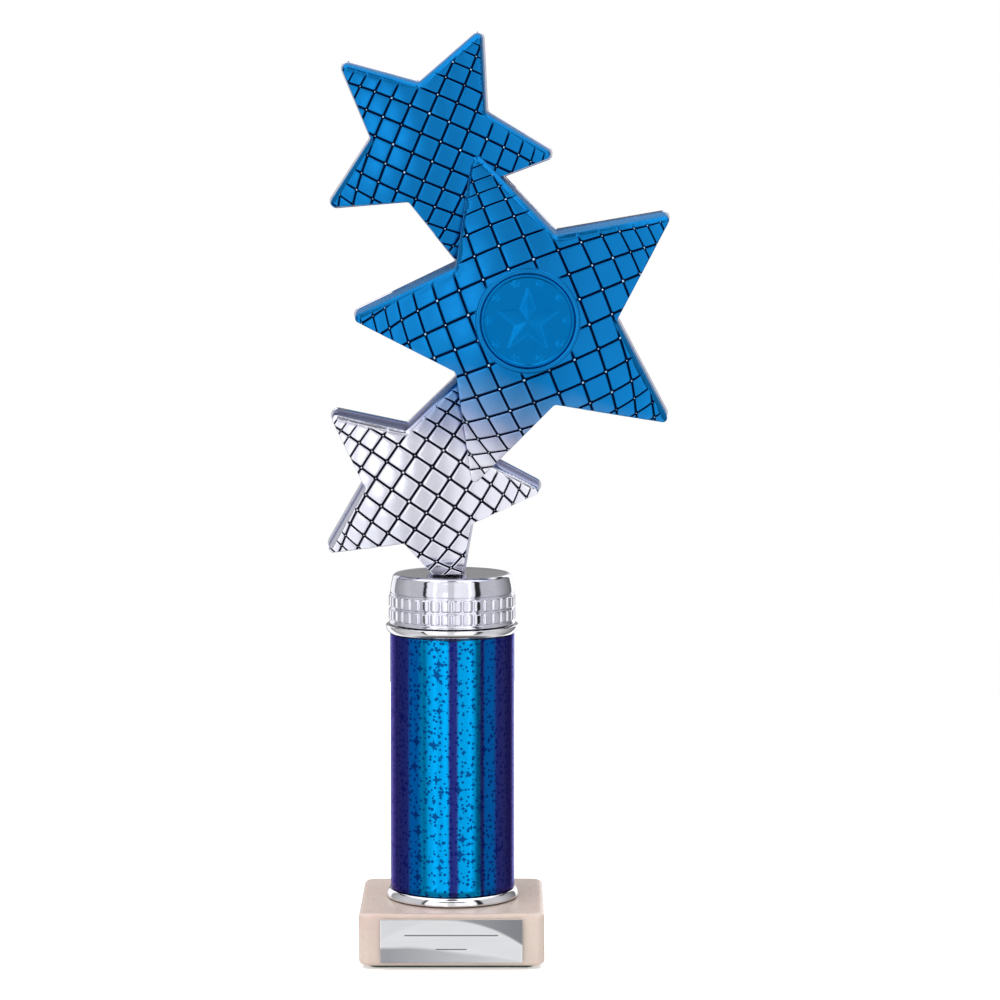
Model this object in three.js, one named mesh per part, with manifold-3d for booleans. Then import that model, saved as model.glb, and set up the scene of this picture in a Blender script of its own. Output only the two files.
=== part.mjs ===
// A column trophy, standing free: a moulded figure of three joined stars on a chromed riser, a tube
// wrapped in patterned foil between two metal end caps, and a small marble base with an engraving plate.
// One threaded rod through the tube pulls the stack together.
// Millimetres, +Z up. The origin is the middle of the felt pad's underside, and the plate faces -Y.

import * as THREE from 'three';
import { mergeVertices } from 'three/addons/utils/BufferGeometryUtils.js';
import Module from 'manifold-3d';

const wasm = await Module();
wasm.setup();

// ---- Driving dimensions --------------------------------------------------------------------------

const GAP = 0.3; // between pieces that rest on each other
const TAPE_GAP = 0.2; // each side of a layer of adhesive
const TAPE_THICK = 0.2;
const OVERLAP = 1; // how far a joined or a cutting shape runs past a face
const ROUND_STEPS = 64; // sides of a large turned piece
const SMALL_STEPS = 32; // sides of a fastener

const PAD = { width: 44, thick: 0.8, corner: 2 };
const BASE = { width: 50, bottom: 1, top: 15.2, corner: 2.5, edge: 0.7 };
const NUT_RECESS = { radius: 8, top: 9 };
const PLATE = { width: 38, height: 11.6, middle: 8, thick: 0.5 };

const THREAD_RADIUS = 2; // M4 rod and stud
const HOLE_RADIUS = THREAD_RADIUS + GAP;
const NUT = { acrossFlats: 7, thick: 3.2 };
const WASHER = { radius: 6, thick: 1 };
const LOCK_WASHER = { radius: 3.7, thick: 1, splitDegrees: 16 };
const ROD = { bottom: 2, top: 89.9 };
const COUPLING = { bottom: 83.9, top: 96.3 };

const TUBE = { bottom: 18.1, top: 87.8, inner: 15.5, outer: 16.5 };
const FOIL = { inner: TUBE.outer + GAP, outer: 17.05 };
const CAP = { wall: 1.2, spigotOuter: 15.2, spigotInner: 14.2, spigotLength: 6, bevel: 1.7 };
const LOWER_CAP = { bottom: 15.5, top: 17.8, wide: 18, narrow: 17.3, hole: HOLE_RADIUS };
const UPPER_CAP = { bottom: 88.1, top: 90.4, wide: 18.1, narrow: 17.2, hole: 4.6 };

const RISER = {
  bottom: 90.7,
  tileTop: 98.7, // top of the two rows of tiles
  bandBottom: 99.3,
  bandTop: 103.3,
  shoulder: 104.15,
  top: 104.5,
  tileRadius: 17.3,
  bandRadius: 16.8,
  bandTopRadius: 16.2,
  shoulderRadius: 15.8,
  topRadius: 15,
  wall: 1.6,
};

const FIGURE = {
  foot: RISER.top + GAP, // the leg stands on the riser here
  leanDegrees: 2.5, // forward, about the foot
  back: 6, // rear edge of the front shell, behind the stud's axis
  wall: 1.6,
  draft: 0.6, // how far the walls close in from back to front
  tipRadius: 1.6,
  tipHalfDegrees: 26,
};
// Every star is a fat five-pointed one with a domed face. x and z are its middle, reach is its radius to
// a sharp tip, turn is the direction of one tip, and face and crown are the dome's front and its height.
const STARS = [
  { x: -5, z: 220.4, reach: 34, turn: 66.8, face: -8, crown: 3.5 },
  { x: 20.4, z: 174, reach: 48.7, turn: 35.8, face: -13.8, crown: 7 },
  { x: -7.5, z: 128.4, reach: 33.5, turn: 70.2, face: -8, crown: 3.5 },
];
const MIDDLE = STARS[1];
const LEG_BLOCK = { left: -9, right: 8, bottom: 92, top: 116 }; // the leg is solid up to here
const COVER = { thick: 2, proud: 0.35, ribDepth: 2, ribThick: 1.2 };
const STUD = { bottom: 90.3, top: 114 };
const SEAT = { radius: 13.7, depth: 1.9 }; // round recess in the middle star
const DISC = { radius: 12.6, thick: 1.2 };

// ---- Solids and meshes ---------------------------------------------------------------------------

const v2 = (x, y) => new THREE.Vector2(x, y);
const v3 = (x, y, z) => new THREE.Vector3(x, y, z);
const radians = THREE.MathUtils.degToRad;

/** The geometry as a manifold solid, with its shared vertices joined. */
function solid(geometry) {
  const bare = geometry.clone();
  bare.deleteAttribute('normal');
  bare.deleteAttribute('uv');
  const joined = mergeVertices(bare, 1e-3);
  return new wasm.Manifold(
    new wasm.Mesh({
      numProp: 3,
      vertProperties: new Float32Array(joined.attributes.position.array),
      triVerts: new Uint32Array(joined.index.array),
    }),
  );
}

/** A manifold solid as a geometry. */
function geometryOf(body) {
  const mesh = body.getMesh();
  const geometry = new THREE.BufferGeometry();
  geometry.setAttribute('position', new THREE.BufferAttribute(new Float32Array(mesh.vertProperties), 3));
  geometry.setIndex(new THREE.BufferAttribute(new Uint32Array(mesh.triVerts), 1));
  geometry.computeVertexNormals();
  return geometry;
}

const union = (bodies) => bodies.reduce((sum, body) => sum.add(body));

/** A piece turned about Z from a closed outline of [radius, z] points. */
function turned(outline, steps = ROUND_STEPS) {
  const points = outline.map(([radius, z]) => v2(radius, z));
  points.push(points[0].clone());
  if (THREE.ShapeUtils.area(points) < 0) points.reverse();
  return new THREE.LatheGeometry(points, steps).rotateX(Math.PI / 2);
}

/** A plain ring, such as a washer or a tube. */
function ring(inner, outer, bottom, top, steps) {
  return turned([[inner, bottom], [outer, bottom], [outer, top], [inner, top]], steps);
}

/** A round bar along Z with small chamfers. */
function bar(radius, bottom, top, chamfer = 0.4) {
  const points = [
    v2(0, bottom),
    v2(radius - chamfer, bottom),
    v2(radius, bottom + chamfer),
    v2(radius, top - chamfer),
    v2(radius - chamfer, top),
    v2(0, top),
  ];
  return new THREE.LatheGeometry(points, SMALL_STEPS).rotateX(Math.PI / 2);
}

/** A cylinder along Z, used for cutting. */
function cutter(radius, bottom, top, steps = SMALL_STEPS) {
  return new THREE.CylinderGeometry(radius, radius, top - bottom, steps)
    .rotateX(Math.PI / 2)
    .translate(0, 0, (bottom + top) / 2);
}

/** A cylinder along Y through the middle star's centre. */
function acrossMiddle(radius, front, back) {
  return new THREE.CylinderGeometry(radius, radius, back - front, ROUND_STEPS)
    .translate(MIDDLE.x, (front + back) / 2, MIDDLE.z);
}

/** A box between two corners. */
function block(low, high) {
  const size = v3().subVectors(high, low);
  const middle = v3().addVectors(high, low).multiplyScalar(0.5);
  return new THREE.BoxGeometry(size.x, size.y, size.z).translate(middle.x, middle.y, middle.z);
}

/** A square with round corners, centred on the origin. */
function roundedSquare(width, corner) {
  const reach = width / 2 - corner;
  const shape = new THREE.Shape();
  shape.absarc(reach, -reach, corner, -Math.PI / 2, 0);
  shape.absarc(reach, reach, corner, 0, Math.PI / 2);
  shape.absarc(-reach, reach, corner, Math.PI / 2, Math.PI);
  shape.absarc(-reach, -reach, corner, Math.PI, 1.5 * Math.PI);
  return shape;
}

/** A hexagonal nut with a plain hole. */
function nut(bottom, top) {
  const reach = NUT.acrossFlats / 2 / Math.cos(Math.PI / 6);
  const corners = Array.from({ length: 6 }, (_, i) => {
    const angle = (i * Math.PI) / 3;
    return v2(reach * Math.cos(angle), reach * Math.sin(angle));
  });
  const shape = new THREE.Shape(corners);
  shape.holes.push(new THREE.Path().absarc(0, 0, HOLE_RADIUS, 0, 2 * Math.PI, true));
  const options = { depth: top - bottom, bevelEnabled: false, curveSegments: 12 };
  return new THREE.ExtrudeGeometry(shape, options).translate(0, 0, bottom);
}

// ---- Stars ---------------------------------------------------------------------------------------

const TIPS = 5;
const TIP_ARC_STEPS = 4;
const DOME_SCALES = [0.8, 0.55, 0.3]; // loops of the outline between the rim of a dome and its middle

/** The outline of a star, anticlockwise from the front, moved in by inset: [x, z] from its middle. */
function starOutline(star, inset) {
  const half = radians(FIGURE.tipHalfDegrees);
  const turn = radians(star.turn);
  const shrink = 1 - inset / (star.reach * Math.sin(half));
  const reach = star.reach * shrink;
  const step = Math.PI / TIPS;
  const waist = reach / (Math.cos(step) + Math.sin(step) / Math.tan(half));
  const radius = Math.max(FIGURE.tipRadius - inset, 0.3);
  const centre = reach - radius / Math.sin(half); // of the arc that rounds a tip
  const outline = [];
  for (let tip = 0; tip < TIPS; tip++) {
    const along = turn + 2 * step * tip;
    const arc = [];
    for (let i = 0; i <= TIP_ARC_STEPS; i++) {
      const angle = along + (Math.PI / 2 - half) * ((2 * i) / TIP_ARC_STEPS - 1);
      arc.push(v2(
        centre * Math.cos(along) + radius * Math.cos(angle),
        centre * Math.sin(along) + radius * Math.sin(angle),
      ));
    }
    const before = v2(waist * Math.cos(along - step), waist * Math.sin(along - step));
    const after = v2(waist * Math.cos(along + step), waist * Math.sin(along + step));
    outline.push(before.clone().lerp(arc[0], 0.5), ...arc);
    outline.push(after.clone().lerp(arc.at(-1), 0.5), after);
  }
  return outline;
}

/** A closed solid through loops of equal length, from back to front, with a fan over each end. */
function loft(loops, backMiddle, frontMiddle) {
  const count = loops[0].length;
  const points = [...loops.flat(), backMiddle, frontMiddle];
  const backIndex = points.length - 2;
  const frontIndex = points.length - 1;
  const lastLoop = (loops.length - 1) * count;
  const index = [];
  for (let i = 0; i < count; i++) {
    const next = (i + 1) % count;
    index.push(next, i, backIndex, lastLoop + i, lastLoop + next, frontIndex);
    for (let start = 0; start < lastLoop; start += count) {
      index.push(start + i, start + next, start + count + i);
      index.push(start + next, start + count + next, start + count + i);
    }
  }
  const geometry = new THREE.BufferGeometry().setFromPoints(points);
  geometry.setIndex(index);
  return geometry;
}

/** A star with a domed front. It is moved in by inset all round, and its open back stands at back. */
function domedStar(star, inset, back) {
  const dome = (x, z) => star.face + inset + star.crown * (Math.hypot(x, z) / star.reach) ** 2;
  const place = (point, scale, y) => {
    const [x, z] = [point.x * scale, point.y * scale];
    return v3(star.x + x, y ?? dome(x, z), star.z + z);
  };
  const rear = starOutline(star, inset);
  const rim = starOutline(star, inset + FIGURE.draft);
  const loops = [
    rear.map((point) => place(point, 1, back)),
    ...[1, ...DOME_SCALES].map((scale) => rim.map((point) => place(point, scale))),
  ];
  return loft(loops, v3(star.x, back, star.z), v3(star.x, dome(0, 0), star.z));
}

/** A flat star between two depths. */
function flatStar(star, inset, front, back) {
  const outline = starOutline(star, inset);
  const loops = [back, front].map((y) => outline.map((p) => v3(star.x + p.x, y, star.z + p.y)));
  return loft(loops, v3(star.x, back, star.z), v3(star.x, front, star.z));
}

const allStars = (shape) => union(STARS.map((star) => solid(shape(star))));

/** Moves a geometry from the figure's upright frame to where it stands, leaning forward. */
function lean(geometry) {
  return geometry
    .translate(0, 0, -RISER.top)
    .rotateX(radians(FIGURE.leanDegrees))
    .translate(0, 0, RISER.top);
}

const BEYOND = 30; // how far a cutting shape runs past what it cuts

/** The leaning figure piece, cut level at the foot. */
function standing(body) {
  const below = block(v3(-BEYOND, -BEYOND, RISER.bottom), v3(BEYOND, BEYOND, FIGURE.foot));
  return solid(lean(geometryOf(body))).subtract(solid(below));
}

/** The space around the leg's solid core, which stays out of the shell's hollow. */
function legBlock(clearance) {
  return solid(block(
    v3(LEG_BLOCK.left - clearance, -BEYOND, LEG_BLOCK.bottom),
    v3(LEG_BLOCK.right + clearance, FIGURE.back + (clearance ? 0 : BEYOND), LEG_BLOCK.top + clearance),
  ));
}

const seatFace = MIDDLE.face + SEAT.depth;

function frontShell() {
  const outside = allStars((star) => domedStar(star, 0, FIGURE.back));
  const hollow = allStars((star) => domedStar(star, FIGURE.wall, FIGURE.back + OVERLAP))
    .subtract(legBlock(0))
    .subtract(solid(acrossMiddle(SEAT.radius + FIGURE.wall, -BEYOND, seatFace + FIGURE.wall)));
  const seat = solid(acrossMiddle(SEAT.radius, -BEYOND, seatFace));
  const studHole = solid(cutter(HOLE_RADIUS, RISER.bottom, STUD.top + GAP));
  return geometryOf(standing(outside.subtract(hollow).subtract(seat)).subtract(studHole));
}

function backCover() {
  const front = FIGURE.back + GAP;
  const plate = allStars((star) => flatStar(star, -COVER.proud, front, front + COVER.thick));
  const ribOutside = FIGURE.wall + GAP;
  const ribFront = front - COVER.ribDepth;
  const rib = allStars((star) => flatStar(star, ribOutside, ribFront, front + OVERLAP))
    .subtract(allStars((star) => flatStar(star, ribOutside + COVER.ribThick, ribFront - OVERLAP, front)))
    .subtract(legBlock(GAP));
  return geometryOf(standing(plate.add(rib)));
}

/** A flat disc on the middle star, between two depths. */
const onSeat = (radius, front, back) => lean(acrossMiddle(radius, front, back));

// ---- Column, riser and base ----------------------------------------------------------------------

/** A metal end cap of the tube. Its rim faces away from the tube, and its spigot goes inside. */
function endCap(cap, rimEnd, tubeEnd) {
  const away = Math.sign(rimEnd - tubeEnd);
  const lip = rimEnd - away * (Math.abs(rimEnd - tubeEnd) - CAP.bevel);
  const spigotEnd = tubeEnd - away * CAP.spigotLength;
  return turned([
    [cap.hole, rimEnd],
    [cap.wide, rimEnd],
    [cap.wide, lip],
    [cap.narrow, tubeEnd],
    [CAP.spigotOuter, tubeEnd],
    [CAP.spigotOuter, spigotEnd],
    [CAP.spigotInner, spigotEnd],
    [CAP.spigotInner, rimEnd - away * CAP.wall],
    [cap.hole, rimEnd - away * CAP.wall],
  ]);
}

function riser() {
  const ceiling = RISER.top - RISER.wall;
  const inside = RISER.bandTopRadius - RISER.wall;
  return turned([
    [HOLE_RADIUS, ceiling],
    [inside, ceiling],
    [RISER.tileRadius - RISER.wall, RISER.bandBottom],
    [RISER.tileRadius - RISER.wall, RISER.bottom],
    [RISER.tileRadius, RISER.bottom],
    [RISER.tileRadius, RISER.tileTop],
    [RISER.bandRadius, RISER.bandBottom],
    [RISER.bandTopRadius, RISER.bandTop],
    [RISER.shoulderRadius, RISER.shoulder],
    [RISER.topRadius, RISER.top],
    [HOLE_RADIUS, RISER.top],
  ]);
}

function marbleBase() {
  const options = {
    depth: BASE.top - BASE.bottom - 2 * BASE.edge,
    bevelThickness: BASE.edge,
    bevelSize: BASE.edge,
    bevelOffset: -BASE.edge,
    bevelSegments: 3,
    curveSegments: 6,
  };
  const stone = new THREE.ExtrudeGeometry(roundedSquare(BASE.width, BASE.corner), options)
    .translate(0, 0, BASE.bottom + BASE.edge);
  return geometryOf(
    solid(stone)
      .subtract(solid(cutter(HOLE_RADIUS, 0, BASE.top + OVERLAP)))
      .subtract(solid(cutter(NUT_RECESS.radius, 0, NUT_RECESS.top, ROUND_STEPS))),
  );
}

function feltPad() {
  const options = { depth: PAD.thick, bevelEnabled: false, curveSegments: 4 };
  return new THREE.ExtrudeGeometry(roundedSquare(PAD.width, PAD.corner), options);
}

/** A flat layer on the front of the base, between two distances in front of it. */
function onBaseFront(near, far) {
  const face = -BASE.width / 2;
  return block(
    v3(-PLATE.width / 2, face - far, PLATE.middle - PLATE.height / 2),
    v3(PLATE.width / 2, face - near, PLATE.middle + PLATE.height / 2),
  );
}

/** A spring washer: a ring with a narrow split. */
function lockWasher(bottom) {
  const split = radians(LOCK_WASHER.splitDegrees);
  const shape = new THREE.Shape();
  shape.absarc(0, 0, LOCK_WASHER.radius, split / 2, 2 * Math.PI - split / 2);
  shape.absarc(0, 0, HOLE_RADIUS, 2 * Math.PI - split / 2, split / 2, true);
  const options = { depth: LOCK_WASHER.thick, bevelEnabled: false, curveSegments: 14 };
  return new THREE.ExtrudeGeometry(shape, options).translate(0, 0, bottom);
}

const washer = (bottom) => ring(HOLE_RADIUS, WASHER.radius, bottom, bottom + WASHER.thick, SMALL_STEPS);

// ---- Assembly ------------------------------------------------------------------------------------

const material = (color, roughness, metalness) =>
  new THREE.MeshStandardMaterial({ color, roughness, metalness });

const marble = material('#e1cdc3', 0.35, 0);
const felt = material('#1d2b23', 0.95, 0);
const engravingMetal = material('#c3c9cc', 0.25, 1);
const adhesive = material('#efeee6', 0.6, 0);
const steel = material('#a9acb0', 0.35, 1);
const chrome = material('#c9cad2', 0.12, 1);
const tubePlastic = material('#2b2b2e', 0.5, 0);
const foil = material('#0f5fc4', 0.2, 0.8);
const blueChrome = material('#0a72bd', 0.22, 0.9);
const discFilm = material('#0b76bf', 0.25, 0.9);

const trophy = new THREE.Group();

function add(name, geometry, finish) {
  const mesh = new THREE.Mesh(geometry, finish);
  mesh.name = name;
  trophy.add(mesh);
}

// Base, from the table up: the nut, spring washer and washer hang on the rod inside the recess.
const baseWasher = NUT_RECESS.top - GAP - WASHER.thick;
const baseLockWasher = baseWasher - GAP - LOCK_WASHER.thick;
const baseNut = baseLockWasher - GAP - NUT.thick;
add('felt_pad', feltPad(), felt);
add('marble_base', marbleBase(), marble);
add('plate_adhesive', onBaseFront(TAPE_GAP, TAPE_GAP + TAPE_THICK), adhesive);
const plateBack = 2 * TAPE_GAP + TAPE_THICK;
add('engraving_plate', onBaseFront(plateBack, plateBack + PLATE.thick), engravingMetal);
add('base_nut', nut(baseNut, baseNut + NUT.thick), steel);
add('base_lock_washer', lockWasher(baseLockWasher), steel);
add('base_washer', washer(baseWasher), steel);
add('tie_rod', bar(THREAD_RADIUS, ROD.bottom, ROD.top), steel);

// Column
add('lower_end_cap', endCap(LOWER_CAP, LOWER_CAP.bottom, LOWER_CAP.top), chrome);
add('column_tube', ring(TUBE.inner, TUBE.outer, TUBE.bottom, TUBE.top), tubePlastic);
add('column_foil', ring(FOIL.inner, FOIL.outer, TUBE.bottom, TUBE.top), foil);
add('upper_end_cap', endCap(UPPER_CAP, UPPER_CAP.top, UPPER_CAP.bottom), chrome);

// Riser, with the fasteners that hold the figure on it and join its stud to the rod
const riserWasher = RISER.top - RISER.wall - GAP - WASHER.thick;
const riserNut = riserWasher - GAP - NUT.thick;
add('riser', riser(), chrome);
add('riser_washer', washer(riserWasher), steel);
add('riser_nut', nut(riserNut, riserNut + NUT.thick), steel);
add('coupling_nut', nut(COUPLING.bottom, COUPLING.top), steel);
add('figure_stud', bar(THREAD_RADIUS, STUD.bottom, STUD.top), steel);

// Figure
const discBack = seatFace - plateBack;
add('figure_front_shell', frontShell(), blueChrome);
add('figure_back_cover', backCover(), chrome);
add('disc_adhesive', onSeat(DISC.radius, seatFace - TAPE_GAP - TAPE_THICK, seatFace - TAPE_GAP), adhesive);
add('centre_disc', onSeat(DISC.radius, discBack - DISC.thick, discBack), discFilm);

export default trophy;
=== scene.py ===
"""The looks of a column trophy: a tiled three-star figure, a chromed riser, a foil-wrapped tube and a
marble base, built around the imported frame.

Mesh code works in millimetres in the frame's own axes, and piece() turns the result into metres.
"""

import math

import bmesh
import bpy
import numpy as np
from mathutils import Matrix, Vector, noise


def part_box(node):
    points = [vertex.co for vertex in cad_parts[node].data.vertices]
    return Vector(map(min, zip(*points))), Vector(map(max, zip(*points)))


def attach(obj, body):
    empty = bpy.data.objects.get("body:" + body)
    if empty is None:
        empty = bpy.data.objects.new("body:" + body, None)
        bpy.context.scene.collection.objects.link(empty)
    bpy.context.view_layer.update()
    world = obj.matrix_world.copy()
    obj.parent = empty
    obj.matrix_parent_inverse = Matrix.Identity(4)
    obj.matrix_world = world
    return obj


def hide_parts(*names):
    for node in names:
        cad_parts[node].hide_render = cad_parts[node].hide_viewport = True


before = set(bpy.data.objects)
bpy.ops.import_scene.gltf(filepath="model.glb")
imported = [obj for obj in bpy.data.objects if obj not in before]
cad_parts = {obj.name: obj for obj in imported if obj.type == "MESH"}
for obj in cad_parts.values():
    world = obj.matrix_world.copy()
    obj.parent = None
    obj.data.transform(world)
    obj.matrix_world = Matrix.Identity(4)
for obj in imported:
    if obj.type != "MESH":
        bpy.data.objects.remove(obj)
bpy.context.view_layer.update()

MM = 0.001
TAU = 2 * math.pi


def cad(node):
    """The lowest and highest corners of a CAD node, in millimetres."""
    low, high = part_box(node)
    return Vector(low) / MM, Vector(high) / MM


# ---- The camera ----------------------------------------------------------------------------------

CAMERA_PLACE = (13.0, -946.8, 209.8)  # millimetres
CAMERA_PITCH = 5.17  # degrees below the horizon
CAMERA_LENS = 126.0
CAMERA_SENSOR = 36.0

camera_data = bpy.data.cameras.new("camera")
camera_data.lens = CAMERA_LENS
camera_data.sensor_width = CAMERA_SENSOR
camera_data.clip_start = 0.01
camera = bpy.data.objects.new("camera", camera_data)
camera.location = Vector(CAMERA_PLACE) * MM
camera.rotation_euler = (math.radians(90 - CAMERA_PITCH), 0, 0)
bpy.context.scene.collection.objects.link(camera)
bpy.context.scene.camera = camera


# ---- Materials -----------------------------------------------------------------------------------


class Signal:
    """A number that nodes work out. It can be added, subtracted, multiplied and divided."""

    def __init__(self, nodes, socket):
        self.nodes, self.socket = nodes, socket

    def __add__(self, other):
        return self.nodes.math("ADD", self, other)

    def __sub__(self, other):
        return self.nodes.math("SUBTRACT", self, other)

    def __rsub__(self, other):
        return self.nodes.math("SUBTRACT", other, self)

    def __mul__(self, other):
        return self.nodes.math("MULTIPLY", self, other)

    def __truediv__(self, other):
        return self.nodes.math("DIVIDE", self, other)

    def __pow__(self, other):
        return self.nodes.math("POWER", self, other)

    def __abs__(self):
        return self.nodes.math("ABSOLUTE", self)


class Nodes:
    """A node tree, with short ways to add nodes to it."""

    def __init__(self, tree):
        self.tree = tree

    def node(self, kind, inputs=(), **settings):
        """Adds a node. inputs pairs sockets with values, signals or outputs."""
        made = self.tree.nodes.new("ShaderNode" + kind)
        for key, value in settings.items():
            setattr(made, key, value)
        for socket, value in dict(inputs).items():
            self.feed(made.inputs[socket], value)
        return made

    def feed(self, socket, value):
        if isinstance(value, Signal):
            value = value.socket
        if isinstance(value, bpy.types.NodeSocket):
            self.tree.links.new(value, socket)
        else:
            socket.default_value = value

    def math(self, operation, a, b=0.0):
        return Signal(self, self.node("Math", {0: a, 1: b}, operation=operation).outputs[0])

    def vector(self, operation, a, b=(0, 0, 0)):
        return self.node("VectorMath", {0: a, 1: b}, operation=operation).outputs["Vector"]

    def stretch(self, place, x, y, z):
        """The place scaled along each axis. A small number draws a pattern out along that axis."""
        return self.vector("MULTIPLY", place, (x, y, z))

    def length(self, vector):
        return Signal(self, self.node("VectorMath", {0: vector}, operation="LENGTH").outputs["Value"])

    def split(self, vector):
        return [Signal(self, part) for part in self.node("SeparateXYZ", {0: vector}).outputs]

    def join(self, x, y, z):
        return self.node("CombineXYZ", {0: x, 1: y, 2: z}).outputs[0]

    def ramp(self, value, low, high, start=0.0, end=1.0, smooth=False):
        inputs = {"Value": value, "From Min": low, "From Max": high, "To Min": start, "To Max": end}
        kind = "SMOOTHSTEP" if smooth else "LINEAR"
        return Signal(self, self.node("MapRange", inputs, interpolation_type=kind).outputs[0])

    def blend(self, amount, a, b, mode="MIX"):
        """A colour between a and b."""
        mix = self.node("Mix", data_type="RGBA", blend_type=mode)
        for socket, value in ((0, amount), (6, a), (7, b)):
            self.feed(mix.inputs[socket], value)
        return mix.outputs[2]

    def bands(self, value, stops):
        """A colour from a list of (position from 0 to 1, colour)."""
        made = self.node("ValToRGB", {0: value})
        elements = made.color_ramp.elements
        while len(elements) < len(stops):
            elements.new(0.5)
        for element, (at, colour) in zip(elements, stops):
            element.position, element.color = at, colour
        return made.outputs[0]

    def levels(self, value, stops):
        """A number from a list of (position from 0 to 1, number)."""
        return Signal(self, self.bands(value, [(at, (level, level, level, 1)) for at, level in stops]))


class Look(Nodes):
    """A node material around one Principled shader."""

    def __init__(self, name, **sockets):
        self.material = bpy.data.materials.new(name)
        self.material.use_nodes = True
        super().__init__(self.material.node_tree)
        self.shader = self.tree.nodes["Principled BSDF"]
        self.set(**sockets)

    def place(self):
        """Where a point lies on the object, in millimetres."""
        return self.stretch(self.node("TexCoord").outputs["Object"], 1 / MM, 1 / MM, 1 / MM)

    def noise(self, place, size, detail=4.0, roughness=0.55):
        """Noise from 0 to 1 whose largest features are about size millimetres across."""
        inputs = {"Vector": place, "Scale": 1 / size, "Detail": detail, "Roughness": roughness}
        return Signal(self, self.node("TexNoise", inputs).outputs["Fac"])

    def value(self, name):
        """A number stored on the mesh's points."""
        return Signal(self, self.node("Attribute", attribute_name=name).outputs["Fac"])

    def bump(self, height, depth, normal=None):
        """Bump from a height of 0 to 1, where depth is in millimetres."""
        inputs = {"Height": height, "Distance": depth * MM, "Strength": 1.0}
        if normal is not None:
            inputs["Normal"] = normal
        return self.node("Bump", inputs).outputs["Normal"]

    def set(self, **sockets):
        for socket, value in sockets.items():
            self.feed(self.shader.inputs[socket.replace("_", " ")], value)
        return self.material

    def finish(self, colour, rough, normal, **sockets):
        """Sets the sockets that every look has. Returns the material."""
        return self.set(Base_Color=colour, Roughness=rough, Normal=normal, **sockets)


def rgb(red, green, blue):
    """A display colour of 0 to 255 as a linear one."""
    return tuple(((c / 255 + 0.055) / 1.055) ** 2.4 if c > 10 else c / 255 / 12.92
                 for c in (red, green, blue)) + (1.0,)


WHITE = (1.0, 1.0, 1.0, 1.0)
SILVER = rgb(208, 208, 219)
SILVER_DULL = rgb(199, 199, 211)
GROOVE_DARK, GROOVE_BLUE = rgb(22, 22, 36), rgb(6, 24, 60)  # under the bare silver and under the blue
BEAD_BARE, BEAD_BLUE = rgb(215, 216, 228), rgb(165, 205, 240)
WALL_BLUE = rgb(30, 92, 138)
WALL_TINT = rgb(150, 155, 185)  # of the walls seen at a glancing angle
SPRAY_TOP, SPRAY_END = 160.2, 134.6  # heights where the blue spray is full and where it has faded out
SPRAY_SLANT, SPRAY_LEVEL = 0.28, 10  # the spray's edge falls towards +X, and those heights are at this x
SPRAY_DRIFT = 7  # how far up and down the edge wanders
SPRAY = ((0.0, SILVER), (0.3, rgb(156, 161, 186)), (0.55, rgb(104, 137, 180)), (0.78, rgb(60, 122, 176)),
         (1.0, rgb(14, 109, 173)))


def chrome_look(name, sprayed, gloss):
    """Vacuum-metallised plastic. The sprayed one is blue above and fades to bare silver below."""
    look = Look(name, Metallic=1.0)
    place = look.place()
    mottle = look.noise(place, 3.2, 3)
    ripple = look.noise(place, 14, 2)
    rough = look.ramp(mottle, 0.3, 0.75, gloss, gloss + 0.05)
    if sprayed:
        across, _, up = look.split(place)
        height = up + (across - SPRAY_LEVEL) * SPRAY_SLANT
        drift = (look.noise(place, 9, 3) - 0.5) * SPRAY_DRIFT
        blue = look.ramp(height + drift, SPRAY_END, SPRAY_TOP)
        groove = look.value("groove")
        side = look.value("wall")
        wall = side * look.ramp(blue, 0.35, 0.8)
        colour = look.bands(blue, SPRAY)
        colour = look.blend(look.ramp(ripple, 0.3, 0.7, 0, 0.08), colour, rgb(0, 92, 160), "MULTIPLY")
        colour = look.blend(look.value("bead"), colour, look.blend(blue, BEAD_BARE, BEAD_BLUE))
        colour = look.blend(groove, colour, look.blend(blue, GROOVE_DARK, GROOVE_BLUE))
        colour = look.blend(wall, colour, WALL_BLUE)
        rough = rough + blue * 0.07 + groove * 0.3 + wall * 0.25
        look.set(Metallic=look.ramp(wall, 0, 1, 1.0, 0.1), Specular_IOR_Level=0.06,
                 Specular_Tint=look.blend(side, WHITE, WALL_TINT))
    else:
        colour = look.blend(look.ramp(mottle, 0.35, 0.7), SILVER, SILVER_DULL)
    fine = look.bump(look.noise(place, 0.9, 2), 0.006)
    return look.finish(colour, rough, look.bump(ripple, 0.1, fine))


def steel_look():
    look = Look("zinc_steel", Metallic=1.0)
    streaks = look.noise(look.stretch(look.place(), 1, 1, 0.08), 0.5, 3)
    colour = look.blend(streaks, rgb(176, 178, 184), rgb(206, 207, 210))
    return look.finish(colour, look.ramp(streaks, 0.3, 0.7, 0.28, 0.46), look.bump(streaks, 0.01))


def cap_look():
    """Pressed and chromed metal with faint turning lines."""
    look = Look("cap_chrome", Metallic=1.0)
    place = look.place()
    lines = look.noise(look.stretch(place, 0.03, 0.03, 1), 0.25, 2)
    haze = look.noise(place, 6, 3)
    colour = look.blend(haze, rgb(228, 227, 230), rgb(212, 212, 218))
    return look.finish(colour, look.ramp(haze, 0.3, 0.7, 0.06, 0.13), look.bump(lines, 0.004))


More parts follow.
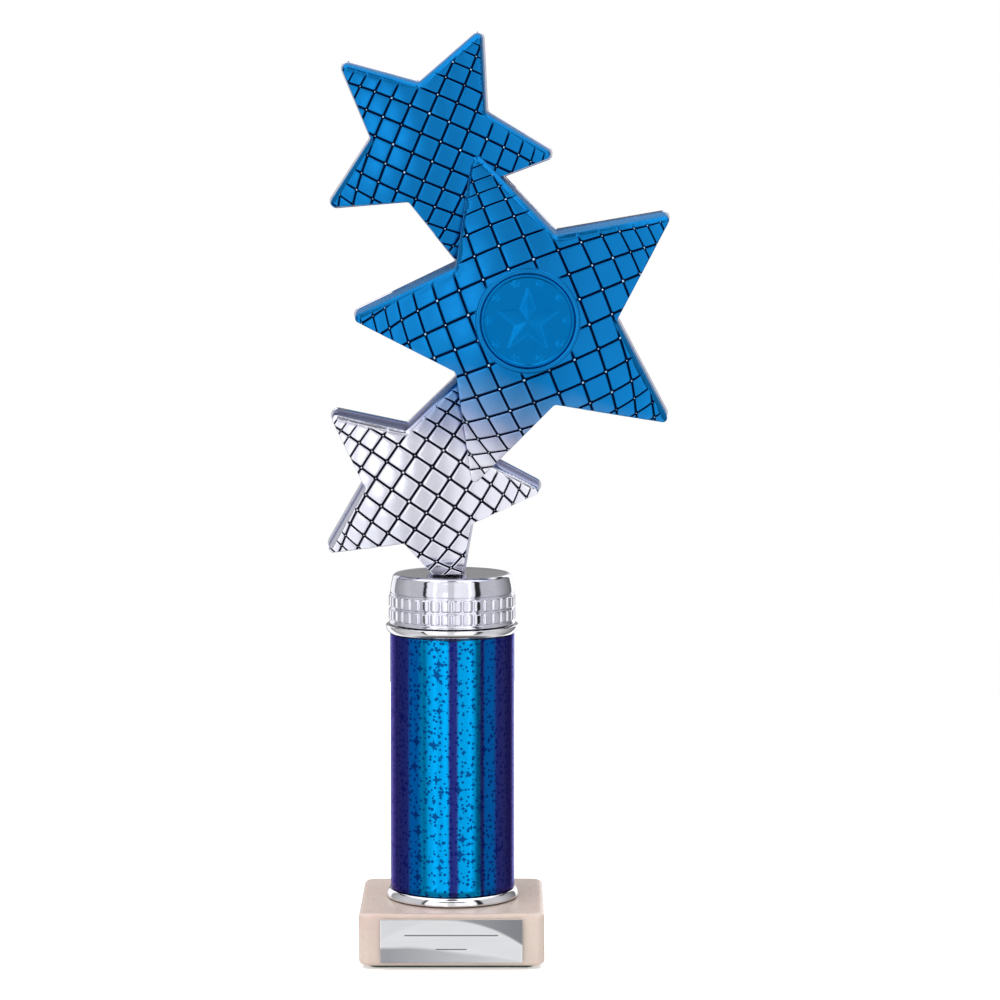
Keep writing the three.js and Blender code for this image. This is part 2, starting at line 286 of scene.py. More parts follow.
def marble_look():
    look = Look("pink_marble", IOR=1.5, Coat_Weight=0.25, Coat_Roughness=0.12)
    place = look.place()
    swirl = look.node("TexNoise", {"Vector": place, "Scale": 1 / 18, "Detail": 3.0}).outputs["Color"]
    bent = look.vector("ADD", place, look.stretch(swirl, 16, 16, 16))
    cloud = look.noise(bent, 24, 4)
    grain = look.noise(place, 1.1, 5, 0.7)
    streak = look.noise(look.stretch(bent, 1, 1, 0.5), 12, 4, 0.5)
    vein = look.ramp(abs(streak - 0.5), 0.0, 0.03, 1, 0, True)
    colour = look.blend(look.ramp(cloud, 0.36, 0.64), rgb(176, 156, 148), rgb(181, 168, 157))
    colour = look.blend(look.ramp(streak, 0.55, 0.8, 0, 0.6), colour, rgb(169, 147, 138))
    colour = look.blend(vein * 0.14, colour, rgb(157, 136, 126))
    colour = look.blend(look.ramp(grain, 0.45, 0.8, 0, 0.25), colour, rgb(163, 147, 138))
    return look.finish(colour, look.ramp(grain, 0.3, 0.7, 0.24, 0.42), look.bump(grain, 0.015),
                       Subsurface_Weight=0.12, Subsurface_Scale=0.004)


FOIL_RADIUS = 17.05
FOIL_REPEAT = 3  # how often the set of painted reflection bands comes round the tube
# Painted reflection: the bright blue bands stand for the two soft boxes reflected in the foil, and the
# indigo and dark violet for the dim gap between them and the darker studio at the sides.
FOIL_PAINTED_HIGHLIGHT, FOIL_MIDDLE = rgb(2, 142, 200), rgb(2, 92, 168)
FOIL_PAINTED_SHADE_INDIGO, FOIL_DARK = rgb(38, 32, 104), rgb(52, 44, 106)
FOIL_PRINT, FOIL_GRAIN = rgb(8, 22, 98), rgb(0, 96, 190)
# (degrees from the middle of the set, colour): neighbouring stops with one colour make a band
FOIL_PAINTED_REFLECTION_BANDS = (
    (-60, FOIL_DARK), (-52, FOIL_PAINTED_SHADE_INDIGO), (-45, FOIL_PAINTED_SHADE_INDIGO), (-41, FOIL_MIDDLE), (-33, FOIL_MIDDLE),
    (-28, FOIL_PAINTED_HIGHLIGHT), (-3.5, FOIL_PAINTED_HIGHLIGHT), (-1.5, FOIL_PAINTED_SHADE_INDIGO), (4.5, FOIL_PAINTED_SHADE_INDIGO), (7, FOIL_PAINTED_HIGHLIGHT),
    (26, FOIL_PAINTED_HIGHLIGHT), (28, FOIL_PAINTED_SHADE_INDIGO), (30, FOIL_PAINTED_SHADE_INDIGO), (32, FOIL_MIDDLE), (41, FOIL_MIDDLE),
    (46, FOIL_PAINTED_SHADE_INDIGO), (55, FOIL_DARK))
# (shape, spacing, share printed, smallest and largest reach): the layers of printed motifs
FOIL_MOTIFS = (("dot", 1.5, 0.66, 0.22, 0.42), ("dot", 2.3, 0.6, 0.3, 0.5), ("star", 3.0, 0.55, 1.1, 1.7),
               ("star", 6.0, 0.45, 2.4, 3.3))
FOIL_STAR_POWER = 0.4  # below 1 the star's sides curve in


def foil_motifs(look, around, z):
    """How fully each point of the foil is printed, in layers of dots and four-point stars."""
    printed = None
    for i, (shape, spacing, share, small, large) in enumerate(FOIL_MOTIFS):
        shift = 200 + 31 * i  # keeps the layers apart
        cells = look.join((around + shift) / spacing, (z + 100) / spacing, 0.0)
        layer = look.node("TexVoronoi", {"Vector": cells, "Scale": 1.0, "Randomness": 0.85},
                          voronoi_dimensions="2D")
        shown, size, _ = look.split(layer.outputs["Color"])
        reach = look.ramp(size, 0, 1, small, large)
        from_cell = look.vector("SUBTRACT", cells, layer.outputs["Position"])
        offset = look.stretch(from_cell, spacing, spacing, spacing)
        if shape == "dot":
            gap = reach - look.length(offset)
        else:
            u, v, _ = look.split(look.vector("ABSOLUTE", offset))
            gap = reach ** FOIL_STAR_POWER - (u ** FOIL_STAR_POWER + v ** FOIL_STAR_POWER)
        mark = look.ramp(gap, -0.03, 0.05) * look.math("LESS_THAN", shown, share)
        printed = mark if printed is None else look.math("MAXIMUM", printed, mark)
    return printed


def foil_look():
    """Blue prismatic foil with painted reflection bands up the tube, bright blue and violet, printed with
    small four-point stars and dots.
    """
    look = Look("prismatic_foil", Metallic=1.0)
    x, y, z = look.split(look.place())
    angle = look.math("ARCTAN2", x, y * -1)
    around = angle * FOIL_RADIUS
    printed = foil_motifs(look, around, z)
    turns = look.math("FRACT", angle * (FOIL_REPEAT / TAU) + 0.5)
    wander = (look.noise(look.join(0.0, 0.0, z), 16, 2) - 0.5) * 0.02
    stops = [(degrees * FOIL_REPEAT / 360 + 0.5, colour) for degrees, colour in FOIL_PAINTED_REFLECTION_BANDS]
    grain = look.noise(look.join(around, z, 0.0), 0.35, 2)
    # The bands paint reflections of the studio, fixed to the tube and repeated round it.
    colour = look.bands(turns + wander, stops)
    colour = look.blend(look.ramp(grain, 0.35, 0.75, 0, 0.3), colour, FOIL_GRAIN)
    colour = look.blend(printed * 0.78, colour, FOIL_PRINT)
    rough = look.ramp(grain, 0.3, 0.7, 0.18, 0.26) + printed * 0.12
    return look.finish(colour, rough, look.bump(grain, 0.003), Specular_Tint=rgb(196, 186, 224))


PLATE_MIDDLE = sum(cad("engraving_plate"), Vector()) / 2
# Apart from the bright sheet and the engraving's cut, these greys are painted shade on the plate, not its
# own colour.
PLATE_BRIGHT, PLATE_PAINTED_SHADE_FAINT = rgb(222, 223, 226), rgb(208, 209, 212)
PLATE_PAINTED_SHADE, PLATE_PAINTED_SHADE_DEEP = rgb(156, 158, 163), rgb(132, 134, 139)
PLATE_CUT = rgb(96, 100, 104)


def plate_look():
    """Bright anodised sheet with two curved areas of painted shade, and the engraving cut through to a
    darker grey.
    """
    look = Look("engraving_metal", Metallic=1.0)
    place = look.place()
    brushed = look.noise(look.stretch(place, 0.04, 1, 1), 0.22, 3)
    x, _, z = look.split(look.vector("SUBTRACT", place, tuple(PLATE_MIDDLE)))
    bent = z + (look.noise(place, 16, 1) - 0.5) * 1.2
    upper = bent + (x + 1) ** 2 * 0.0165
    lower = bent + (x + 19) ** 2 * 0.0028
    # Painted shade: a curved sweep over the upper right that darkens to the right, and one along the bottom
    # that fades to the right.
    above = look.ramp(upper, 5.3, 6.2, smooth=True) * look.ramp(x, -6, 3, 0.12, 1.0)
    below = look.ramp(lower, -1.1, -2.3, smooth=True)
    shade = look.blend(look.ramp(x, 2, 17), PLATE_PAINTED_SHADE, PLATE_PAINTED_SHADE_DEEP)
    foot = look.blend(look.ramp(x, -17, 14), PLATE_PAINTED_SHADE, PLATE_PAINTED_SHADE_FAINT)
    colour = look.blend(below, look.blend(above, PLATE_BRIGHT, shade), foot)
    colour = look.blend(look.value("engraved"), colour, PLATE_CUT)
    return look.finish(colour, look.ramp(brushed, 0.3, 0.7, 0.12, 0.2), look.bump(brushed, 0.001))


def disc_look():
    """Embossed metallised film under the same blue spray."""
    look = Look("disc_film", Metallic=1.0)
    place = look.place()
    haze = look.noise(place, 5, 3)
    colour = look.blend(look.ramp(haze, 0.3, 0.7), rgb(6, 107, 171), rgb(3, 99, 164))
    embossing = look.bump(look.noise(place, 0.5, 2), 0.006)
    return look.finish(colour, look.ramp(haze, 0.3, 0.7, 0.2, 0.3), embossing)


def felt_look():
    look = Look("felt", Sheen_Weight=0.4, Sheen_Roughness=0.5)
    fibre = look.noise(look.stretch(look.place(), 1, 1, 4), 0.5, 6, 0.7)
    return look.finish(look.blend(fibre, rgb(18, 40, 30), rgb(46, 76, 60)), 0.95, look.bump(fibre, 0.15))


def plain_look(name, dark, light, size, rough):
    """A moulded plastic or an adhesive film with a fine grain."""
    look = Look(name)
    grain = look.noise(look.place(), size, 4)
    rough = look.ramp(grain, 0.3, 0.7, rough, rough + 0.12)
    return look.finish(look.blend(grain, dark, light), rough, look.bump(grain, 0.01))


FIGURE_LOOK = chrome_look("sprayed_chrome", sprayed=True, gloss=0.15)
SILVER_LOOK = chrome_look("silver_chrome", sprayed=False, gloss=0.05)
STEEL_LOOK = steel_look()
CAP_LOOK = cap_look()
MARBLE_LOOK = marble_look()
FOIL_LOOK = foil_look()
PLATE_LOOK = plate_look()
DISC_LOOK = disc_look()
FELT_LOOK = felt_look()
TUBE_LOOK = plain_look("tube_plastic", rgb(34, 34, 38), rgb(52, 52, 56), size=0.8, rough=0.45)
TAPE_LOOK = plain_look("adhesive_film", rgb(228, 227, 218), rgb(243, 242, 236), size=0.4, rough=0.5)


# ---- Pieces --------------------------------------------------------------------------------------

SMOOTH_BELOW = 38  # degrees: sharper edges stay sharp


def add_object(name, bm, scale=MM):
    """Puts a mesh into the scene, in metres, and frees it."""
    mesh = bpy.data.meshes.new(name)
    bm.to_mesh(mesh)
    bm.free()
    mesh.transform(Matrix.Scale(scale, 4))
    made = bpy.data.objects.new(name, mesh)
    bpy.context.scene.collection.objects.link(made)
    return made


def piece(name, bm, look, node, smooth=SMOOTH_BELOW):
    """Turns a mesh in millimetres into a finished piece that stands for a CAD node."""
    bmesh.ops.recalc_face_normals(bm, faces=bm.faces)
    made = add_object(name, bm)
    made.data.shade_smooth()
    made.data.set_sharp_from_angle(angle=math.radians(smooth))
    made.data.materials.append(look)
    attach(made, "root")
    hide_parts(node)


# ---- Stars ---------------------------------------------------------------------------------------

TIPS = 5
STEP = math.pi / TIPS
TIP_HALF = math.radians(26)  # half of a tip's angle
TIP_RADIUS, TIP_STEPS = 1.6, 8
NOTCH_RADIUS, NOTCH_STEPS = 1.1, 3
DRAFT = 0.6  # how far the face's rim lies inside the back's
FIGURE_BACK = 6.0
BACK_EDGE, BACK_BEVEL = 0.1, 0.25  # insets of the back's edge before and after its bevel
LEAN = math.radians(2.5)  # of the figure, forward about its foot
FOOT = cad("riser")[1].z

# x, z, reach, turn, face and crown as on the CAD part. pitch is a tile's width, tilt the direction of one
# line of grooves, cross the place of one groove crossing from the star's middle, wrap the radius of the
# ball that the tile pattern seems to be wrapped round, groove the width of a groove, and tip the length
# of the smooth end of each arm.
STARS = {
    "top": dict(x=-5.0, z=220.4, reach=34.0, turn=66.8, face=-8.0, crown=3.5,
                pitch=5.75, tilt=-23.4, cross=(-3.0, 3.1), wrap=32.0, groove=0.44, tip=3.0),
    "middle": dict(x=20.4, z=174.0, reach=48.7, turn=35.8, face=-13.8, crown=7.0,
                   pitch=7.44, tilt=22.2, cross=(0.3, 0.25), wrap=40.2, groove=0.5, tip=4.5),
    "bottom": dict(x=-7.5, z=128.4, reach=33.5, turn=70.2, face=-8.0, crown=3.5,
                   pitch=5.69, tilt=-33.9, cross=(2.3, 5.8), wrap=28.0, groove=0.52, tip=1.5),
}
KNEE = 1.1  # radians round the ball beyond which the pattern runs on straight
ROLL_WIDTH, ROLL_DROP = 1.7, 0.75  # of the smooth rolled edge, where the star's edge faces straight up
ROLL_NARROWEST = 0.15  # the tiles run right up to edges that face sideways or down
TIP_DROP = 0.35  # how far each arm's end falls away
CUT_NEAR, CUT_SPARE = 1.2, 0.6  # how near a cut its faces lie, and how far it runs past its ends
SEAT_COLLAR, SEAT_STEPS = 14.0, 96  # radius of the collar round the disc
# (radius, depth behind the star's face) from the collar's outside over it and down into the disc's seat
SEAT_PROFILE = ((13.93, 0.05), (13.75, -0.1), (13.5, -0.14), (12.95, -0.14), (12.78, -0.05), (12.72, 0.15),
                (12.7, 1.6))


def star_outline(star, inset=0.0):
    """The outline with rounded tips and notches, anticlockwise from the front, as (x, z) points."""
    shrink = 1 - inset / (star["reach"] * math.sin(TIP_HALF))
    reach = star["reach"] * shrink
    waist = reach / (math.cos(STEP) + math.sin(STEP) / math.tan(TIP_HALF))
    radius = max(TIP_RADIUS - inset, 0.3)
    centre = reach - radius / math.sin(TIP_HALF)
    points = []
    for tip in range(TIPS):
        along = math.radians(star["turn"]) + 2 * STEP * tip
        for i in range(TIP_STEPS + 1):
            angle = along + (math.pi / 2 - TIP_HALF) * (2 * i / TIP_STEPS - 1)
            points.append((centre * math.cos(along) + radius * math.cos(angle),
                           centre * math.sin(along) + radius * math.sin(angle)))
        notch = NOTCH_RADIUS + inset / 2
        middle = waist + notch / math.sin(TIP_HALF + STEP)
        for i in range(NOTCH_STEPS + 1):
            angle = along + STEP + math.pi + (math.pi / 2 - TIP_HALF - STEP) * (1 - 2 * i / NOTCH_STEPS)
            points.append((middle * math.cos(along + STEP) + notch * math.cos(angle),
                           middle * math.sin(along + STEP) + notch * math.sin(angle)))
    return np.array(points)


def inside_star(x, z, reach, turn, tip_half=TIP_HALF):
    """How far points lie inside a star with sharp tips; negative outside. turn is in degrees."""
    angle = (np.arctan2(z, x) - math.radians(turn) + STEP) % (2 * STEP) - STEP
    distance = np.hypot(x, z)
    along, across = distance * np.cos(angle), np.abs(distance * np.sin(angle))
    return (reach - along) * math.sin(tip_half) - across * math.cos(tip_half)


def to_ball(star, x, z, inverse=False):
    """Squeezes flat pattern points towards the middle as if wrapped round a ball, or back."""
    distance = np.maximum(np.hypot(x, z), 1e-9)
    wrap, knee = star["wrap"], star["wrap"] * math.sin(KNEE)
    if inverse:
        moved = wrap * np.arcsin(np.minimum(distance, knee) / wrap)
        moved = moved + np.maximum(distance - knee, 0) / math.cos(KNEE)
    else:
        moved = wrap * np.sin(np.minimum(distance / wrap, KNEE))
        moved = moved + np.maximum(distance - KNEE * wrap, 0) * math.cos(KNEE)
    return x * moved / distance, z * moved / distance


def pattern_axes(star):
    """The pattern's two directions and its phase, as the flat place of one crossing."""
    tilt = math.radians(star["tilt"])
    u_axis = np.array([math.cos(tilt), math.sin(tilt)])
    v_axis = np.array([-math.sin(tilt), math.cos(tilt)])
    origin = np.array(to_ball(star, *map(np.array, star["cross"]), inverse=True))
    return u_axis, v_axis, origin


GROOVE_STEPS = (0, 0.1, 0.18, 0.25, 0.32, 0.4, 0.5, 0.66, 1.0, 1.6, 2.3)  # from a groove's middle


def tiled_sheet(star):
    """A flat mesh over the star whose lines follow the tile pattern, as points and quads."""
    pitch = star["pitch"]
    half = [step for step in GROOVE_STEPS if step < pitch / 2 - 0.3] + [pitch / 2]
    cell = half + [pitch - step for step in half[-2:0:-1]]
    u_axis, v_axis, origin = pattern_axes(star)
    limit = float(to_ball(star, star["reach"] + 1.5, 0.0, inverse=True)[0])
    cells = int(limit / pitch) + 3
    lines = np.array([i * pitch + step for i in range(-cells, cells) for step in cell])
    u, v = np.meshgrid(lines, lines, indexing="ij")
    flat = origin[:, None, None] + u_axis[:, None, None] * u + v_axis[:, None, None] * v
    reach = np.hypot(flat[0], flat[1])
    x, z = to_ball(star, flat[0], flat[1])
    keep = (inside_star(x, z, star["reach"], star["turn"]) > -1.2) & (reach < limit + pitch)
    faces_kept = keep[:-1, :-1] | keep[1:, :-1] | keep[:-1, 1:] | keep[1:, 1:]
    count = len(lines)
    i, j = np.nonzero(faces_kept)
    corner = i * count + j
    quads = np.stack([corner, corner + count, corner + count + 1, corner + 1], axis=1)
    used, index = np.unique(quads, return_inverse=True)
    points = np.stack([x.ravel()[used], np.zeros(len(used)), z.ravel()[used]], axis=1)
    return points, index.reshape(quads.shape)


def rolled_edge(star, x, z):
    """How far into the smooth edge points lie: 0 within the tiles, and 1 on the rim where it faces up."""
    outline = star_outline(star, DRAFT)
    nearest, width = np.full(len(x), np.inf), np.zeros(len(x))
    for start, end in zip(outline, np.roll(outline, -1, axis=0)):
        along = end - start
        length = np.hypot(*along)
        share = np.clip(((x - start[0]) * along[0] + (z - start[1]) * along[1]) / length ** 2, 0, 1)
        gap = np.hypot(x - start[0] - share * along[0], z - start[1] - share * along[1])
        closer = gap < nearest
        nearest[closer] = gap[closer]
        width[closer] = ROLL_WIDTH * math.sqrt(max(-along[0] / length, 0))
    rolled = np.clip(1 - nearest / np.maximum(width, ROLL_NARROWEST), 0, 1)
    return np.where(width > ROLL_NARROWEST, rolled, 0)


def inside_tile(across, up, half_across, half_up, corner):
    """How far points, given from a tile's middle, lie inside its rounded edge; negative outside."""
    out_a, out_u = np.abs(across) - half_across + corner, np.abs(up) - half_up + corner
    past_corner = np.hypot(np.maximum(out_a, 0), np.maximum(out_u, 0))
    return corner - past_corner - np.minimum(np.maximum(out_a, out_u), 0)


def relief(star, x, z):
    """The face's relief at points from the star's middle: height, groove paint and bead, as arrays."""
    pitch, groove = star["pitch"], star["groove"]
    u_axis, v_axis, origin = pattern_axes(star)
    flat = np.array(to_ball(star, x, z, inverse=True)) - origin[:, None]
    u, v = u_axis @ flat, v_axis @ flat
    cell_u, cell_v = np.floor(u / pitch), np.floor(v / pitch)
    in_u, in_v = u - (cell_u + 0.5) * pitch, v - (cell_v + 0.5) * pitch  # from the tile's middle
    half = (pitch - groove) / 2
    edge = inside_tile(in_u, in_v, half, half, 0.09 * pitch)
    shoulder = 1 - np.clip(edge / 0.34, 0, 1)
    tilt = np.array([noise.cell_vector((a, b, pitch)) for a, b in zip(cell_u, cell_v)])
    tilt = (tilt[:, :2] - 0.5) * 0.03
    pillow = 0.055 * ((in_u / half) ** 2 + (in_v / half) ** 2)
    height = -0.22 * shoulder ** 2 - pillow + tilt[:, 0] * in_u + tilt[:, 1] * in_v
    depth = np.clip(-edge / 0.12, 0, 1)
    height = np.where(edge < 0, -0.36 - 0.3 * depth, height)
    paint = np.clip((0.05 - edge) / 0.09, 0, 1)
    near_u, near_v = pitch / 2 - np.abs(in_u), pitch / 2 - np.abs(in_v)
    from_crossing = np.hypot(near_u, near_v)
    at_u, at_v = np.round(u / pitch), np.round(v / pitch)
    drops = np.array([noise.cell((a, b, pitch)) for a, b in zip(at_u, at_v)])
    bead_radius = pitch * (0.054 + 0.02 * drops)
    dome = np.sqrt(np.maximum(bead_radius ** 2 - from_crossing ** 2, 0))
    on_bead = from_crossing < bead_radius
    height = np.where(on_bead, np.maximum(height, -0.5 + dome), height)
    bead = np.clip((bead_radius - from_crossing) / 0.08, 0, 1)
    paint = paint * (1 - bead)
    roll = rolled_edge(star, x, z)
    tip = np.clip((np.hypot(x, z) - star["reach"] + star["tip"]) / star["tip"], 0, 1)
    plain = np.clip(np.maximum(2 * roll, star["tip"] * tip), 0, 1)
    height = height * (1 - plain) - np.maximum(ROLL_DROP * roll ** 2, TIP_DROP * tip ** 2)
    return height, paint * (1 - plain), bead * (1 - plain)


def cut_outline(bm, zone, outline):
    """Splits the faces in zone along a closed outline in the XZ plane. Returns the zone's faces."""
    for start, end in zip(outline, np.roll(outline, -1, axis=0)):
        along = Vector((end[0] - start[0], 0, end[1] - start[1]))
        length = along.length
        along.normalize()
        across = Vector((along.z, 0, -along.x))
        origin = Vector((start[0], 0, start[1]))
        crossed = []
        for face in zone:
            sides = [(v.co - origin).dot(across) for v in face.verts]
            if min(sides) < -1e-4 and max(sides) > 1e-4:
                reach = [(v.co - origin).dot(along) for v in face.verts]
                if max(reach) > -CUT_SPARE and min(reach) < length + CUT_SPARE:
                    crossed.append(face)
        if not crossed:
            continue
        edges, verts = {e for f in crossed for e in f.edges}, {v for f in crossed for v in f.verts}
        cut = bmesh.ops.bisect_plane(bm, geom=[*crossed, *edges, *verts], dist=1e-5,
                                     plane_co=origin, plane_no=across)
        zone = [f for f in zone if f.is_valid]
        known = set(zone)
        zone += [g for g in cut["geom"] if isinstance(g, bmesh.types.BMFace) and g not in known]
    return zone


def inside(outline, x, z):
    """Whether each point lies inside a closed outline."""
    result = np.zeros(len(x), bool)
    for (x0, z0), (x1, z1) in zip(outline, np.roll(outline, -1, axis=0)):
        spans = (z0 > z) != (z1 > z)
        with np.errstate(divide="ignore", invalid="ignore"):
            result ^= spans & (x < (x1 - x0) * (z - z0) / (z1 - z0) + x0)
    return result


def middles(faces):
    """The x and z of the faces' middles, as two arrays."""
    found = [f.calc_center_median() for f in faces]
    return np.array([c.x for c in found]), np.array([c.z for c in found])


def follow(outline, target, x, z):
    """The point of one outline that matches a point on another of as many points."""
    along = np.roll(outline, -1, axis=0) - outline
    from_start = np.array((x, z)) - outline
    share = np.clip((from_start * along).sum(axis=1) / (along ** 2).sum(axis=1), 0, 1)
    nearest = np.hypot(*(from_start - share[:, None] * along).T).argmin()
    return target[nearest] + share[nearest] * (target[(nearest + 1) % len(target)] - target[nearest])


def extrude_rim(bm, edges, move):
    """Extrudes boundary edges once, moves the new points, and returns the new boundary edges."""
    made = bmesh.ops.extrude_edge_only(bm, edges=edges)["geom"]
    for vert in (g for g in made if isinstance(g, bmesh.types.BMVert)):
        move(vert)
    return [g for g in made if isinstance(g, bmesh.types.BMEdge) and g.is_boundary]


def fill(bm, edges):
    """Closes a boundary with triangles."""
    faces = bmesh.ops.contextual_create(bm, geom=edges)["faces"]
    bm.normal_update()
    bmesh.ops.triangulate(bm, faces=faces)


def close_back(bm, y, layers=()):
    """Carries the boundary straight back to y and closes it there. The layers are 0 on the new points."""
    def to_back(vert):
        vert.co.y = y
        for layer in layers:
            vert[layer] = 0
    fill(bm, extrude_rim(bm, [e for e in bm.edges if e.is_boundary], to_back))


def circle(radius, steps):
    """Points round a circle, anticlockwise from the front, as (x, z)."""
    angles = np.arange(steps) * TAU / steps
    return np.stack([radius * np.cos(angles), radius * np.sin(angles)], axis=1)


def dome_height(star, x, z):
    return star["face"] + star["crown"] * (x * x + z * z) / star["reach"] ** 2


def lean_matrix():
    """Tips the upright figure forward about its foot."""
    foot = Matrix.Translation((0, 0, FOOT))
    return foot @ Matrix.Rotation(LEAN, 4, "X") @ foot.inverted()


def star_shell(name, star):
    """One star of the moulded front shell: tiled domed face, plain side walls and a closed back."""
    points, quads = tiled_sheet(star)
    rim = star_outline(star, DRAFT)
    bm = bmesh.new()
    verts = [bm.verts.new(p) for p in points]
    from_rim = inside_star(points[:, 0], points[:, 2], star["reach"], star["turn"]) - DRAFT
    from_middle = np.hypot(points[:, 0], points[:, 2])
    seat = name == "middle"
    zone = []
    for quad in quads:
        face = bm.faces.new([verts[i] for i in quad])
        near_rim = from_rim[quad].min() < CUT_NEAR
        near_seat = seat and abs(from_middle[quad] - SEAT_COLLAR).min() < CUT_NEAR
        if near_rim or near_seat:
            zone.append(face)
    zone = cut_outline(bm, zone, rim)
    if seat:
        cut_outline(bm, zone, circle(SEAT_COLLAR, SEAT_STEPS))
    x, z = middles(bm.faces)
    keep = inside(rim, x, z)
    if seat:
        keep &= np.hypot(x, z) > SEAT_COLLAR * math.cos(math.pi / SEAT_STEPS)
    bmesh.ops.delete(bm, geom=[f for f, k in zip(list(bm.faces), keep) if not k], context="FACES")
    bmesh.ops.remove_doubles(bm, verts=bm.verts, dist=1e-4)

    groove_layer = bm.verts.layers.float.new("groove")
    bead_layer = bm.verts.layers.float.new("bead")
    wall_layer = bm.verts.layers.float.new("wall")
    x, z = np.array([v.co.x for v in bm.verts]), np.array([v.co.z for v in bm.verts])
    height, paint, bead = relief(star, x, z)
    if seat:
        clear = np.clip((np.hypot(x, z) - SEAT_COLLAR - 0.1) / 0.5, 0, 1)
        paint, bead = paint * clear, bead * clear
        height = height * (0.35 + 0.65 * clear)
    for vert, up, dark, bright in zip(bm.verts, height, paint, bead):
        vert.co.y = dome_height(star, vert.co.x, vert.co.z) - up
        vert[groove_layer], vert[bead_layer] = dark, bright

    edges = [e for e in bm.edges if e.is_boundary]
    seat_edges = [e for e in edges if seat and e.verts[0].co.xz.length < SEAT_COLLAR + 0.5]
    outer_edges = [e for e in edges if e not in set(seat_edges)]

    def wall(outer, inner, place_back):
        source, target = star_outline(star, outer), star_outline(star, inner)

        def move(vert):
            vert.co.y = place_back(vert.co)
            vert.co.x, vert.co.z = follow(source, target, vert.co.x, vert.co.z)
            vert[groove_layer] = vert[bead_layer] = 0
            vert[wall_layer] = 1
        return move

    def below_dome(co):
        return dome_height(star, co.x, co.z) + 0.95

    shoulder, foot = DRAFT - 0.1, DRAFT - 0.16
    edge = extrude_rim(bm, outer_edges, wall(DRAFT, shoulder, lambda co: co.y + 0.07))
    edge = extrude_rim(bm, edge, wall(shoulder, foot, below_dome))
    edge = extrude_rim(bm, edge, wall(foot, BACK_EDGE, lambda co: FIGURE_BACK - 0.35))
    edge = extrude_rim(bm, edge, wall(BACK_EDGE, BACK_BEVEL, lambda co: FIGURE_BACK))
    fill(bm, edge)
    if seat:
        for radius, depth in SEAT_PROFILE:
            def move(vert, radius=radius, depth=depth):
                flat = vert.co.xz.normalized() * radius
                vert.co = (flat.x, star["face"] + depth, flat.y)
                vert[groove_layer] = vert[bead_layer] = vert[wall_layer] = 0
            seat_edges = extrude_rim(bm, seat_edges, move)
        fill(bm, seat_edges)

    bmesh.ops.translate(bm, verts=bm.verts, vec=(star["x"], 0, star["z"]))
    bm.transform(lean_matrix())
    if name == "bottom":
        trim_below(bm, FOOT)
    piece(f"figure_star_{name}", bm, FIGURE_LOOK, "figure_front_shell")


def trim_below(bm, height):
    """Cuts a closed mesh level at a height and closes it."""
    cut = bmesh.ops.bisect_plane(bm, geom=[*bm.verts, *bm.edges, *bm.faces], clear_inner=True,
                                 plane_co=(0, 0, height), plane_no=(0, 0, 1))
    edges = [g for g in cut["geom_cut"] if isinstance(g, bmesh.types.BMEdge)]
    fill(bm, edges)


for star_name, star_facts in STARS.items():
    star_shell(star_name, star_facts)


# ---- Lathed and lofted pieces --------------------------------------------------------------------


def loft(rings, loop=True):
    """A closed mesh through rings of equal counts. The last meets the first, or both ends are capped."""
    bm = bmesh.new()
    made = [[bm.verts.new(point) for point in ring] for ring in rings]
    for lower, upper in zip(made, made[1:] + made[:1] if loop else made[1:]):
        for i in range(len(lower)):
            bm.faces.new((lower[i - 1], lower[i], upper[i], upper[i - 1]))
    if not loop:
        bm.faces.new(made[0])
        bm.faces.new(made[-1])
    return bm


def ring(radius, z, angles):
    """A level circle, starting at the front and going round towards +X."""
    return [(r * math.sin(a), -r * math.cos(a), z)
            for r, a in zip(np.broadcast_to(radius, len(angles)), angles)]


def lathe(profile, steps=192):
    """A ring-shaped body from a closed profile of (radius, z)."""
    angles = np.arange(steps) * TAU / steps
    return loft([ring(radius, z, angles) for radius, z in profile])


def arc(centre_r, centre_z, radius, start, end, steps=6):
    """Profile points along an arc. Angles are in degrees from outwards, anticlockwise."""
    return [(centre_r + radius * math.cos(math.radians(a)), centre_z + radius * math.sin(math.radians(a)))
            for a in np.linspace(start, end, steps)]


CAP_FLARE = 2.3  # height of the flared ring
CAP_WALL = 1.2
SPIGOT, SPIGOT_LENGTH = 15.2, 5.8


def cap_profile(wide, narrow, hole, rim=0.0):
    """A pressed cap that opens upwards: a floor at the rim, a flared ring and a spigot above it."""
    inner = SPIGOT - CAP_WALL + 0.2
    edge = rim + CAP_FLARE
    flare = [(narrow + (wide - narrow) * math.cos(t * math.pi / 2) ** 0.8,
              rim + 0.3 + (CAP_FLARE - 0.45) * t) for t in (0.15, 0.3, 0.45, 0.6, 0.75, 0.88)]
    return (
        [(hole, rim + 0.12), (hole + 0.15, rim), (wide - 0.45, rim)]
        + arc(wide - 0.3, rim + 0.3, 0.3, -80, 0) + flare
        + [(narrow, edge - 0.15), (narrow - 0.15, edge), (SPIGOT, edge)]
        + [(SPIGOT, edge + SPIGOT_LENGTH - 0.2), (SPIGOT - 0.2, edge + SPIGOT_LENGTH),
           (inner + 0.2, edge + SPIGOT_LENGTH), (inner, edge + SPIGOT_LENGTH - 0.2)]
        + [(inner, rim + CAP_WALL + 0.3), (inner - 0.3, rim + CAP_WALL),
           (hole + 0.15, rim + CAP_WALL), (hole, rim + CAP_WALL - 0.12)]
    )


